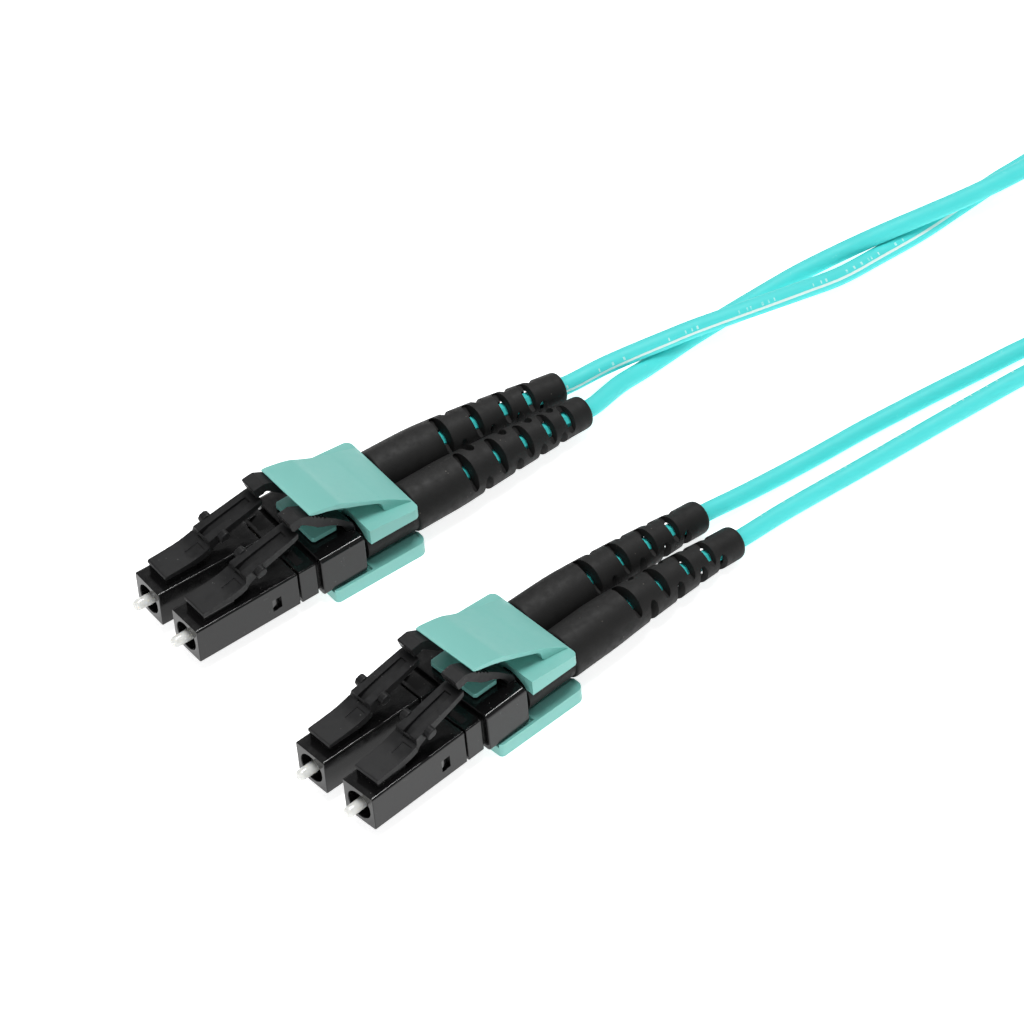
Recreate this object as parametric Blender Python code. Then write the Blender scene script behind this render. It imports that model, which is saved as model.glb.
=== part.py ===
"""Duplex LC to duplex LC fibre optic patch cord, modelled at rest.

Frame: metres, +Z up, Z = 0 is the surface that the cord lies on. +X runs from
the ferrules of end A towards its cable, +Y from end B towards end A.
Every connector is modelled in its own frame, in millimetres: X = 0 is the
front face of the housing, +X runs back along the fibre, Z = 0 is the underside
of the housing and Y = 0 is the fibre's axis.
"""

import math

import bmesh
import bpy
from mathutils import Matrix, Vector

MM = 0.001

# ---------------------------------------------------------------- placement
FRAME_X = 25.3235         # end A's front faces lie this far behind the origin
FRAME_Y = -15.0615        # end A's centre line, from the origin (negated)
PLATE_DROP = 1.74       # underside of the housings above the surface
END_B_YAW = 6.4         # degrees
END_B_X = -0.28         # end B's front face centre in end A's frame
END_B_Y = -30.75

CLIP_PITCH = 6.25       # between the fibre axes at the clip
CLIP_X = 24.0           # where that pitch is measured
FRONT_PITCH = {"a": 6.89, "b": 7.32}
BOOT_END_PITCH = {"a": 4.50, "b": 5.41}
BOOT_DROP = {"a": 1.45, "b": 2.00}   # how far the boots' ends sag below the fibre axis

# ---------------------------------------------------------------- connector
BODY = 4.5              # square nose
AXIS_Z = BODY / 2
NOSE_LENGTH = 12.80
NOSE_BORE_R = 1.60
NOSE_CAVITY_R = 1.75
SEAT_R = 1.00
SEAT_X = (5.2, 5.9)
FERRULE_R = 0.625
FERRULE_TIP_X = -1.80
FLANGE_R = 1.42
LATCH_PIVOT = (5.05, 5.62)
TRIGGER_PIVOT = (20.9, 5.15)
REAR_FRONT_X = 13.05
REAR_BACK_X = 21.30
REAR_HALF_Y = 2.62
REAR_TOP_Z = 4.85
REAR_BORE_R = 1.75
POST_R = 0.95
POST_BORE_R = 0.55
SLEEVE_R = 1.55
SLEEVE_BORE_R = 1.27
BOOT_NECK_R = 2.50
BOOT_BODY_R = 2.80
BOOT_TAIL_R = 1.85
BOOT_END_R = 1.66
BOOT_FRONT_X = 21.60
BOOT_END_X = {"a_l": 51.80, "a_r": 51.70, "b_l": 53.00, "b_r": 53.00}
BOOT_BORE_R = 1.30
BOOT_SOCKET_R = 1.85
# two rows of slots, the second turned a quarter from the first
SLOT_STATIONS = {
    "a_l": ((36.6, 40.6, 44.3, 47.3), (38.4, 42.2, 45.6, 48.6)),
    "a_r": ((35.4, 39.4, 43.0, 46.1, 48.7), (37.2, 41.4, 44.7, 47.5)),
    "b_l": ((37.0, 41.2, 45.0, 48.3), (39.2, 43.2, 46.7, 49.7)),
    "b_r": ((37.3, 41.5, 45.2, 48.3), (39.4, 43.4, 46.8, 49.7)),
}
SLOT_WIDTH = 1.15
SLOT_TURN = {"a_l": 65.0, "a_r": 55.0, "b_l": 68.0, "b_r": 72.0}

# ---------------------------------------------------------------- duplex clip
CLIP_HALF_Y = 6.47
CLIP_FRONT_X = 21.55
CLIP_BACK_X = 27.90
CLIP_TOP_Z = 5.90
LIP_Z = 3.90
CHANNEL_R = 2.80
PLATE_FRONT_X = 16.64
TONGUE_FRONT_X = 16.35
TONGUE_HALF_Y = 3.47
LEVER_PIVOT = (26.95, 6.20)

# ---------------------------------------------------------------- cord
CORD_D = 2.0
COIL_X = 148.6 - FRAME_X          # centre of the stored coil, from the origin
COIL_Y = -14.5 - FRAME_Y
COIL_R = 25.0                     # middle of the turns
COIL_WIDTH = 8.5
COIL_HEIGHT = 6.2
GAP = 0.3


# ================================================================ helpers
def clear_scene():
    for obj in list(bpy.data.objects):
        bpy.data.objects.remove(obj, do_unlink=True)


def material(name, rgb, roughness, metallic=0.0):
    mat = bpy.data.materials.new(name)
    mat.use_nodes = True
    shader = mat.node_tree.nodes["Principled BSDF"]
    shader.inputs["Base Color"].default_value = (*rgb, 1.0)
    shader.inputs["Roughness"].default_value = roughness
    shader.inputs["Metallic"].default_value = metallic
    mat.diffuse_color = (*rgb, 1.0)
    return mat


def empty(name, parent, location, yaw=0.0):
    obj = bpy.data.objects.new(name, None)
    bpy.context.scene.collection.objects.link(obj)
    obj.parent = parent
    obj.location = Vector(location) * MM
    obj.rotation_euler = (0.0, 0.0, math.radians(yaw))
    return obj


def node(name, bm, mat, parent, pivot=(0.0, 0.0, 0.0), smooth=35.0, helper=False):
    """A named object whose origin lies on the pivot, in the parent's frame."""
    bmesh.ops.recalc_face_normals(bm, faces=bm.faces[:])
    bmesh.ops.translate(bm, vec=-Vector(pivot), verts=bm.verts[:])
    bmesh.ops.scale(bm, vec=(MM, MM, MM), verts=bm.verts[:])
    mesh = bpy.data.meshes.new(name)
    bm.to_mesh(mesh)
    bm.free()
    if mat is not None:
        mesh.materials.append(mat)
    if smooth is not None:
        mesh.shade_smooth()
        mesh.set_sharp_from_angle(angle=math.radians(smooth))
    obj = bpy.data.objects.new(name, mesh)
    bpy.context.scene.collection.objects.link(obj)
    obj.parent = parent
    obj.location = Vector(pivot) * MM
    if helper:
        obj.hide_render = True
        obj.display_type = "WIRE"
    return obj


def boolean(obj, other, operation):
    mod = obj.modifiers.new(operation.title(), "BOOLEAN")
    mod.operation = operation
    mod.solver = "EXACT"
    mod.object = other
    return mod


def add_loft(bm, rings, ring_closed=False):
    """Skins a row of rings; with ring_closed the last meets the first again."""
    rows = [[bm.verts.new(p) for p in ring] for ring in rings]
    n = len(rows[0])
    pairs = list(zip(rows, rows[1:]))
    if ring_closed:
        pairs.append((rows[-1], rows[0]))
    for a, b in pairs:
        for i in range(n):
            j = (i + 1) % n
            bm.faces.new((a[i], a[j], b[j], b[i]))
    if not ring_closed:
        bm.faces.new(list(reversed(rows[0])))
        bm.faces.new(rows[-1])
    return bm


def circle_ring(x, r, n, y=0.0, z=AXIS_Z, turn=0.0):
    return [
        (
            x,
            y + r * math.cos(turn + 2 * math.pi * (i + 0.5) / n),
            z + r * math.sin(turn + 2 * math.pi * (i + 0.5) / n),
        )
        for i in range(n)
    ]


def rect_ring(x, half_y, z0, z1, radius, n):
    """A rounded rectangle with n points, n / 4 on each corner."""
    k = n // 4
    zc, half_z = (z0 + z1) / 2, (z1 - z0) / 2
    points = []
    for corner in range(4):
        sy = (1, -1, -1, 1)[corner]
        sz = (1, 1, -1, -1)[corner]
        for i in range(k):
            angle = math.radians(90.0 * corner + 90.0 * (i + 0.5) / k)
            if k == 2:
                angle = math.radians(90.0 * corner + (0.0, 90.0)[i])
            elif k > 2:
                angle = math.radians(90.0 * corner + 90.0 * i / (k - 1))
            points.append(
                (
                    x,
                    sy * (half_y - radius) + radius * math.cos(angle),
                    zc + sz * (half_z - radius) + radius * math.sin(angle),
                )
            )
    return points


def strip(rows):
    """A bar along X from rows of (top x, top z, low x, low z, half width)."""
    return add_loft(
        bmesh.new(),
        [
            [(xt, w, zt), (xt, -w, zt), (xb, -w, zb), (xb, w, zb)]
            for xt, zt, xb, zb, w in rows
        ],
    )


def box_into(bm, x0, x1, y0, y1, z0, z1):
    """Adds a closed box to the mesh."""
    add_loft(
        bm,
        [
            [(x, y0, z0), (x, y1, z0), (x, y1, z1), (x, y0, z1)]
            for x in (x0, x1)
        ],
    )
    return bm


def prism(points, x0, x1):
    """A YZ outline extruded along X."""
    return add_loft(bmesh.new(), [[(x, y, z) for y, z in points] for x in (x0, x1)])


# ================================================================ connector
def front_housing(tag, parent, mat):
    n = 16
    h = BODY / 2
    outer = [
        rect_ring(0.0, h - 0.18, 0.18, BODY - 0.18, 0.15, n),
        rect_ring(0.18, h, 0.0, BODY, 0.22, n),
        rect_ring(NOSE_LENGTH, h, 0.0, BODY, 0.22, n),
    ]
    inner = [
        circle_ring(NOSE_LENGTH, NOSE_CAVITY_R, n),
        circle_ring(SEAT_X[1], NOSE_CAVITY_R, n),
        circle_ring(SEAT_X[1], SEAT_R, n),
        circle_ring(SEAT_X[0], SEAT_R, n),
        circle_ring(SEAT_X[0], NOSE_BORE_R, n),
        circle_ring(0.12, NOSE_BORE_R, n),
        circle_ring(0.0, NOSE_BORE_R + 0.12, n),
    ]
    obj = node(tag + "_front_housing", add_loft(bmesh.new(), outer + inner, True), mat, parent)
    # the raised pad that the latch springs from
    pad = strip(
        [
            (1.36, 5.72, 1.70, 4.35, 1.55),
            (1.50, 5.82, 1.75, 4.35, 1.65),
            (4.75, 5.92, 4.75, 4.35, 1.65),
        ]
    )
    boolean(obj, node(tag + "_pad_tool", pad, None, parent, helper=True), "UNION")
    # the keyway recesses on both sides
    bm = bmesh.new()
    for side in (1, -1):
        y0, y1 = sorted((side * 1.98, side * 2.6))
        box_into(bm, 9.4, 10.6, y0, y1, 1.2, 2.7)
    boolean(obj, node(tag + "_key_tool", bm, None, parent, helper=True), "DIFFERENCE")
    return obj


def latch_lever(tag, parent, mat):
    px, pz = LATCH_PIVOT
    rows = [
        (5.05, 5.93, 5.05, 5.30, 1.65),
        (7.05, 6.45, 7.15, 5.70, 1.65),
        (8.10, 7.35, 8.30, 6.40, 1.70),
        (8.45, 7.45, 8.50, 6.50, 2.18),
        (9.35, 7.65, 9.40, 6.70, 2.18),
        (9.50, 7.70, 9.55, 6.75, 1.55),
        (12.0, 8.25, 12.0, 7.45, 1.45),
        (14.15, 8.75, 14.10, 8.00, 1.30),
    ]
    return node(tag + "_latch_lever", strip(rows), mat, parent, pivot=(px, 0.0, pz))


def rear_housing(tag, parent, mat):
    n = 16
    tab = BODY / 2
    outer = [
        rect_ring(REAR_FRONT_X, tab - 0.02, 0.02, 4.40, 0.20, n),
        rect_ring(15.15, tab - 0.02, 0.02, 4.40, 0.20, n),
        rect_ring(15.20, 2.05, 0.35, 4.05, 0.25, n),
        rect_ring(15.50, 2.05, 0.35, 4.05, 0.25, n),
        rect_ring(15.55, REAR_HALF_Y, -0.10, REAR_TOP_Z, 0.40, n),
        rect_ring(20.90, REAR_HALF_Y, -0.10, REAR_TOP_Z, 0.40, n),
        rect_ring(REAR_BACK_X, REAR_HALF_Y - 0.45, 0.35, REAR_TOP_Z - 0.45, 0.40, n),
    ]
    inner = [
        circle_ring(REAR_BACK_X, REAR_BORE_R, n),
        circle_ring(REAR_FRONT_X, REAR_BORE_R, n),
    ]
    return node(tag + "_rear_housing", add_loft(bmesh.new(), outer + inner, True), mat, parent)


def trigger_arm(tag, parent, mat):
    px, pz = TRIGGER_PIVOT
    w = 1.15
    rows = [
        (20.15, 5.12, 21.05, 5.12, w),
        (20.10, 5.60, 21.10, 5.75, w),
        (19.60, 6.25, 20.35, 6.75, w),
        (17.95, 7.35, 18.60, 7.98, w),
        (16.95, 7.75, 17.60, 8.68, w),
        (16.00, 8.50, 16.60, 9.50, w),
        (15.10, 9.35, 15.55, 10.25, w),
        (14.85, 9.45, 14.75, 10.55, w),
        (13.60, 9.30, 13.45, 10.40, w),
    ]
    rows = [(xt, zt, xb, zb, hw) for xb, zb, xt, zt, hw in rows]
    return node(tag + "_trigger_arm", strip(rows), mat, parent, pivot=(px, 0.0, pz))


def ferrule(tag, parent, mat):
    n = 12
    rings = [
        circle_ring(FERRULE_TIP_X, FERRULE_R * 0.62, n),
        circle_ring(FERRULE_TIP_X + 0.22, FERRULE_R, n),
        circle_ring(6.15, FERRULE_R, n),
    ]
    return node(tag + "_ferrule", add_loft(bmesh.new(), rings), mat, parent,
                pivot=(0.0, 0.0, AXIS_Z))


def ferrule_flange(tag, parent, mat):
    n = 6
    rings = [
        circle_ring(6.45, FLANGE_R, n),
        circle_ring(7.60, FLANGE_R, n),
        circle_ring(7.62, 0.60, n),
        circle_ring(9.20, 0.60, n),
    ]
    return node(tag + "_ferrule_flange", add_loft(bmesh.new(), rings), mat, parent,
                pivot=(0.0, 0.0, AXIS_Z), smooth=None)


def ferrule_spring(tag, parent, mat):
    """A coil spring of closed pitch, wound round the flange's tail."""
    x0, x1, mean, wire, turns, sides, steps = 7.95, 11.30, 1.10, 0.14, 4, 4, 10
    count = turns * steps
    slope = (x1 - x0) / (2 * math.pi * mean * turns)
    rings = []
    for i in range(count + 1):
        angle = 2 * math.pi * i / steps
        radial = Vector((0.0, math.cos(angle), math.sin(angle)))
        along = Vector((slope, -math.sin(angle), math.cos(angle))).normalized()
        third = along.cross(radial).normalized()
        centre = Vector((x0 + (x1 - x0) * i / count, 0.0, AXIS_Z)) + radial * mean
        rings.append(
            [
                centre
                + radial * wire * math.cos(2 * math.pi * (k + 0.5) / sides)
                + third * wire * math.sin(2 * math.pi * (k + 0.5) / sides)
                for k in range(sides)
            ]
        )
    return node(tag + "_ferrule_spring", add_loft(bmesh.new(), rings), mat, parent, smooth=60.0)


def back_post(tag, parent, mat):
    n = 12
    outer = [
        circle_ring(11.60, 1.45, n),
        circle_ring(14.60, 1.45, n),
        circle_ring(14.70, POST_R, n),
        circle_ring(24.00, POST_R, n),
    ]
    inner = [circle_ring(24.00, POST_BORE_R, n), circle_ring(11.60, POST_BORE_R, n)]
    return node(tag + "_back_post", add_loft(bmesh.new(), outer + inner, True), mat, parent)


def crimp_sleeve(tag, parent, mat):
    n = 12
    rings = [
        circle_ring(21.90, SLEEVE_R, n),
        circle_ring(26.80, SLEEVE_R, n),
        circle_ring(26.80, SLEEVE_BORE_R, n),
        circle_ring(21.90, SLEEVE_BORE_R, n),
    ]
    return node(tag + "_crimp_sleeve", add_loft(bmesh.new(), rings, True), mat, parent)


def boot_axis(tag, x):
    """(y, z) of the boot's axis: straight in the clip, then a gentle bend."""
    end = tag[0]
    side = 1 if tag[-1] == "l" else -1
    t = max(0.0, (x - 28.0) / (BOOT_END_X[tag] - 28.0))
    straight = (CLIP_PITCH + (CLIP_PITCH - FRONT_PITCH[end]) * (BOOT_END_X[tag] - CLIP_X) / CLIP_X) / 2
    inward = BOOT_END_PITCH[end] / 2 - straight
    return side * inward * t * t, AXIS_Z - BOOT_DROP[end] * t * t


def boot_ring(tag, x, r, n):
    """A ring square to the boot's bent axis."""
    y, z = boot_axis(tag, x)
    y1, z1 = boot_axis(tag, x + 0.1)
    y0, z0 = boot_axis(tag, x - 0.1)
    along = Vector((0.2, y1 - y0, z1 - z0)).normalized()
    up = (Vector((0, 0, 1)) - along * along.z).normalized()
    side = up.cross(along)
    centre = Vector((x, y, z))
    return [
        centre
        - side * r * math.cos(2 * math.pi * (i + 0.5) / n)
        + up * r * math.sin(2 * math.pi * (i + 0.5) / n)
        for i in range(n)
    ]


def boot_radius(x):
    """Outer radius behind the clip: a body, then a taper to the tail."""
    if x <= 34.0:
        return BOOT_BODY_R
    t = min(1.0, (x - 34.0) / 16.0)
    return BOOT_BODY_R + (BOOT_TAIL_R - BOOT_BODY_R) * t


def strain_relief_boot(tag, parent, mat):
    n = 12
    stations = [28.50, 34.0, 42.0, 50.0]
    outer = [
        boot_ring(tag, BOOT_FRONT_X, BOOT_NECK_R, n),
        boot_ring(tag, 28.20, BOOT_NECK_R, n),
    ]
    outer += [boot_ring(tag, x, boot_radius(x), n) for x in stations]
    end_x = BOOT_END_X[tag]
    outer += [
        boot_ring(tag, end_x - 0.25, BOOT_END_R + 0.04, n),
        boot_ring(tag, end_x, BOOT_END_R - 0.16, n),
    ]
    inner = [
        boot_ring(tag, x, BOOT_BORE_R, n) for x in (end_x, 46.0, 37.0, 28.0)
    ]
    inner += [
        boot_ring(tag, 27.40, BOOT_SOCKET_R, n),
        boot_ring(tag, BOOT_FRONT_X, BOOT_SOCKET_R, n),
    ]
    obj = node(tag + "_strain_relief_boot", add_loft(bmesh.new(), outer + inner, True), mat, parent)
    # pairs of slots, each pair turned a quarter from the last
    bm = bmesh.new()
    wide, turned = SLOT_STATIONS[tag]
    for x, quarter in [(x, 0.0) for x in wide] + [(x, 90.0) for x in turned]:
        y, z = boot_axis(tag, x)
        y1, z1 = boot_axis(tag, x + 0.1)
        along = Vector((0.1, y1 - y, z1 - z)).normalized()
        turn = math.radians(SLOT_TURN[tag] + quarter)
        out = Vector((0.0, -math.cos(turn), math.sin(turn)))
        out = (out - along * out.dot(along)).normalized()
        across = along.cross(out)
        r = boot_radius(x)
        inner_reach, half = BOOT_BORE_R * 0.72, r * 0.80
        for sign in (1, -1):
            rings = []
            for s in (-SLOT_WIDTH / 2, SLOT_WIDTH / 2):
                c = Vector((x, y, z)) + along * s
                rings.append(
                    [
                        c + out * sign * inner_reach + across * half,
                        c + out * sign * inner_reach - across * half,
                        c + out * sign * (r + 1.0) - across * half,
                        c + out * sign * (r + 1.0) + across * half,
                    ]
                )
            add_loft(bm, rings)
    boolean(obj, node(tag + "_slot_tool", bm, None, parent, helper=True), "DIFFERENCE")
    return obj


def inner_lead(tag, parent, mat):
    """The stretch of cord that the crimp and the boot hold."""
    rings = [
        boot_ring(tag, x, CORD_D / 2, 8)
        for x in (24.30, 28.0, 32.0, 36.0, 40.0, 44.0, 48.0, BOOT_END_X[tag] - 0.05)
    ]
    return node(tag + "_inner_lead", add_loft(bmesh.new(), rings), mat, parent)


# ================================================================ duplex clip
def clip_outline():
    """The clip's section: two channels, open outwards, either side of a web."""
    def half(side):
        yc = side * (CLIP_PITCH / 2 + 0.015)
        up = math.asin((LIP_Z - AXIS_Z) / CHANNEL_R)
        down = math.asin(AXIS_Z / CHANNEL_R)
        start, stop = up, 2 * math.pi - down
        arc = []
        for i in range(13):
            a = start + (stop - start) * i / 12
            arc.append((yc + side * CHANNEL_R * math.cos(a), AXIS_Z + CHANNEL_R * math.sin(a)))
        return (
            [(side * (CLIP_HALF_Y - 0.3), CLIP_TOP_Z), (side * CLIP_HALF_Y, CLIP_TOP_Z - 0.3),
             (side * CLIP_HALF_Y, LIP_Z)]
            + arc
            + [(side * CLIP_HALF_Y, 0.0), (side * CLIP_HALF_Y, -PLATE_DROP + 0.3),
               (side * (CLIP_HALF_Y - 0.3), -PLATE_DROP)]
        )
    right = half(-1)
    left = half(1)
    return right + list(reversed(left))


def plan_outline(x0, x1, half_y, radius, z0, z1):
    """A plate with its two rear corners rounded, seen from above."""
    points = [(x0, -half_y), (x1 - radius, -half_y)]
    for i in range(1, 5):
        a = math.radians(-90 + 90 * i / 4)
        points.append((x1 - radius + radius * math.cos(a), -half_y + radius + radius * math.sin(a)))
    for i in range(4):
        a = math.radians(90 * i / 4)
        points.append((x1 - radius + radius * math.cos(a), half_y - radius + radius * math.sin(a)))
    points += [(x1 - radius, half_y), (x0, half_y)]
    return add_loft(bmesh.new(), [[(x, y, z) for x, y in points] for z in (z0, z1)])


def duplex_clip(end, parent, mat):
    obj = node(end + "_duplex_clip", prism(clip_outline(), CLIP_FRONT_X, CLIP_BACK_X), mat, parent)
    plan = plan_outline(CLIP_FRONT_X - 1.0, CLIP_BACK_X - 0.02, CLIP_HALF_Y + 0.01, 1.3, -3.0, 8.0)
    boolean(obj, node(end + "_plan_tool", plan, None, parent, helper=True), "INTERSECT")
    bm = bmesh.new()
    # the lower plate, which runs forward under both rear housings
    box_into(bm, PLATE_FRONT_X, CLIP_FRONT_X + 0.4, -CLIP_HALF_Y + 0.002, CLIP_HALF_Y - 0.002,
             -PLATE_DROP + 0.002, -0.45)
    boolean(obj, node(end + "_plate_tool", bm, None, parent, helper=True), "UNION")
    bm = bmesh.new()
    # the tongue under both arms, with its neck between them
    outline = [
        (CLIP_FRONT_X + 0.4, -1.55), (CLIP_FRONT_X + 0.4, 1.55), (19.70, 1.55),
        (19.50, TONGUE_HALF_Y), (TONGUE_FRONT_X, TONGUE_HALF_Y),
        (TONGUE_FRONT_X, -TONGUE_HALF_Y), (19.50, -TONGUE_HALF_Y), (19.70, -1.55),
    ]
    add_loft(bm, [[(x, y, z) for x, y in outline] for z in (5.15, 5.70)])
    boolean(obj, node(end + "_tongue_tool", bm, None, parent, helper=True), "UNION")
    return obj


def press_lever(end, parent, mat):
    px, pz = LEVER_PIVOT
    rows = [
        (26.95, 6.85, 26.90, 6.20, 4.85),
        (24.30, 7.95, 24.20, 6.95, 4.78),
        (21.90, 9.08, 21.60, 8.10, 4.70),
        (20.40, 9.75, 20.10, 8.80, 4.62),
        (19.20, 10.12, 19.00, 9.25, 4.58),
        (17.30, 10.40, 17.30, 9.80, 4.52),
        (15.80, 10.55, 15.85, 10.20, 4.46),
    ]
    return node(end + "_press_lever", strip(rows), mat, parent, pivot=(px, 0.0, pz))


# ================================================================ cord
def smooth_route(knots, spacing):
    """Points at even spacing on the smooth curve through the knots."""
    pts = [Vector(k) for k in knots]
    pts = [pts[0] * 2 - pts[1]] + pts + [pts[-1] * 2 - pts[-2]]
    dense = []
    for i in range(1, len(pts) - 2):
        p0, p1, p2, p3 = pts[i - 1:i + 3]
        t0, t1 = 0.0, (p1 - p0).length ** 0.5
        t2 = t1 + (p2 - p1).length ** 0.5
        t3 = t2 + (p3 - p2).length ** 0.5
        for s in range(24):
            t = t1 + (t2 - t1) * s / 24
            a1 = p0 * ((t1 - t) / (t1 - t0)) + p1 * ((t - t0) / (t1 - t0))
            a2 = p1 * ((t2 - t) / (t2 - t1)) + p2 * ((t - t1) / (t2 - t1))
            a3 = p2 * ((t3 - t) / (t3 - t2)) + p3 * ((t - t2) / (t3 - t2))
            b1 = a1 * ((t2 - t) / (t2 - t0)) + a2 * ((t - t0) / (t2 - t0))
            b2 = a2 * ((t3 - t) / (t3 - t1)) + a3 * ((t - t1) / (t3 - t1))
            dense.append(b1 * ((t2 - t) / (t2 - t1)) + b2 * ((t - t1) / (t2 - t1)))
    dense.append(pts[-2])
    run = [0.0]
    for a, b in zip(dense, dense[1:]):
        run.append(run[-1] + (b - a).length)
    count = max(2, round(run[-1] / spacing))
    out, k = [], 0
    for i in range(count + 1):
        want = run[-1] * i / count
        while k < len(run) - 2 and run[k + 1] < want:
            k += 1
        t = (want - run[k]) / max(run[k + 1] - run[k], 1e-9)
        out.append(dense[k].lerp(dense[k + 1], min(max(t, 0.0), 1.0)))
    return out


def cord_tube(name, knots, mat, spacing=4.5):
    points = smooth_route(knots, spacing)
    curve = bpy.data.curves.new(name, "CURVE")
    curve.dimensions = "3D"
    curve.bevel_depth = CORD_D / 2 * MM
    curve.bevel_resolution = 2
    curve.use_fill_caps = True
    spline = curve.splines.new("POLY")
    spline.points.add(len(points) - 1)
    for place, point in zip(spline.points, points):
        place.co = (*(point * MM), 1.0)
    curve.materials.append(mat)
    obj = bpy.data.objects.new(name, curve)
    bpy.context.scene.collection.objects.link(obj)
    return obj


def coil_ring(mat):
    """The stored turns, as one turned ring of their outer shape."""
    n = 40
    half = COIL_WIDTH / 2
    section = [
        (COIL_R - half, 0.6), (COIL_R - half + 0.6, 0.02), (COIL_R + half - 0.6, 0.02),
        (COIL_R + half, 0.6), (COIL_R + half, COIL_HEIGHT - 0.6),
        (COIL_R + half - 0.6, COIL_HEIGHT), (COIL_R - half + 0.6, COIL_HEIGHT),
        (COIL_R - half, COIL_HEIGHT - 0.6),
    ]
    rings = []
    for i in range(n):
        a = 2 * math.pi * i / n
        rings.append(
            [(COIL_X + r * math.cos(a), COIL_Y + r * math.sin(a), z) for r, z in section]
        )
    return node("stored_coil", add_loft(bmesh.new(), rings, True), mat, None)


def tie_band(mat):
    """An arch over the turns, with its lock on the outer side."""
    half = COIL_WIDTH / 2 + GAP
    xc, y = COIL_X + COIL_R, COIL_Y
    top = COIL_HEIGHT + GAP
    t = 0.7
    outline = [
        (xc - half - t, 0.05), (xc - half, 0.05), (xc - half, top), (xc + half, top),
        (xc + half, 0.05), (xc + half + t + 1.6, 0.05), (xc + half + t + 1.6, 3.4),
        (xc + half + t, 3.8), (xc + half + t, top + t), (xc - half - t, top + t),
    ]
    bm = add_loft(bmesh.new(), [[(x, yy, z) for x, z in outline] for yy in (y - 1.25, y + 1.25)])
    return node("coil_tie", bm, mat, None, smooth=None)


# ================================================================ assembly
def connector_frame(end, side, end_frame):
    """An empty at a connector's front face, turned by the splay of the pair."""
    sign = 1 if side == "l" else -1
    front = FRONT_PITCH[end] / 2
    yaw = math.degrees(math.atan2((CLIP_PITCH / 2 - front) * sign, CLIP_X))
    return empty(f"{end}_{side}_frame", end_frame, (0.0, sign * front, 0.0), yaw)


def world_point(frame, point):
    return frame.matrix_world @ (Vector(point) * MM) / MM


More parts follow.
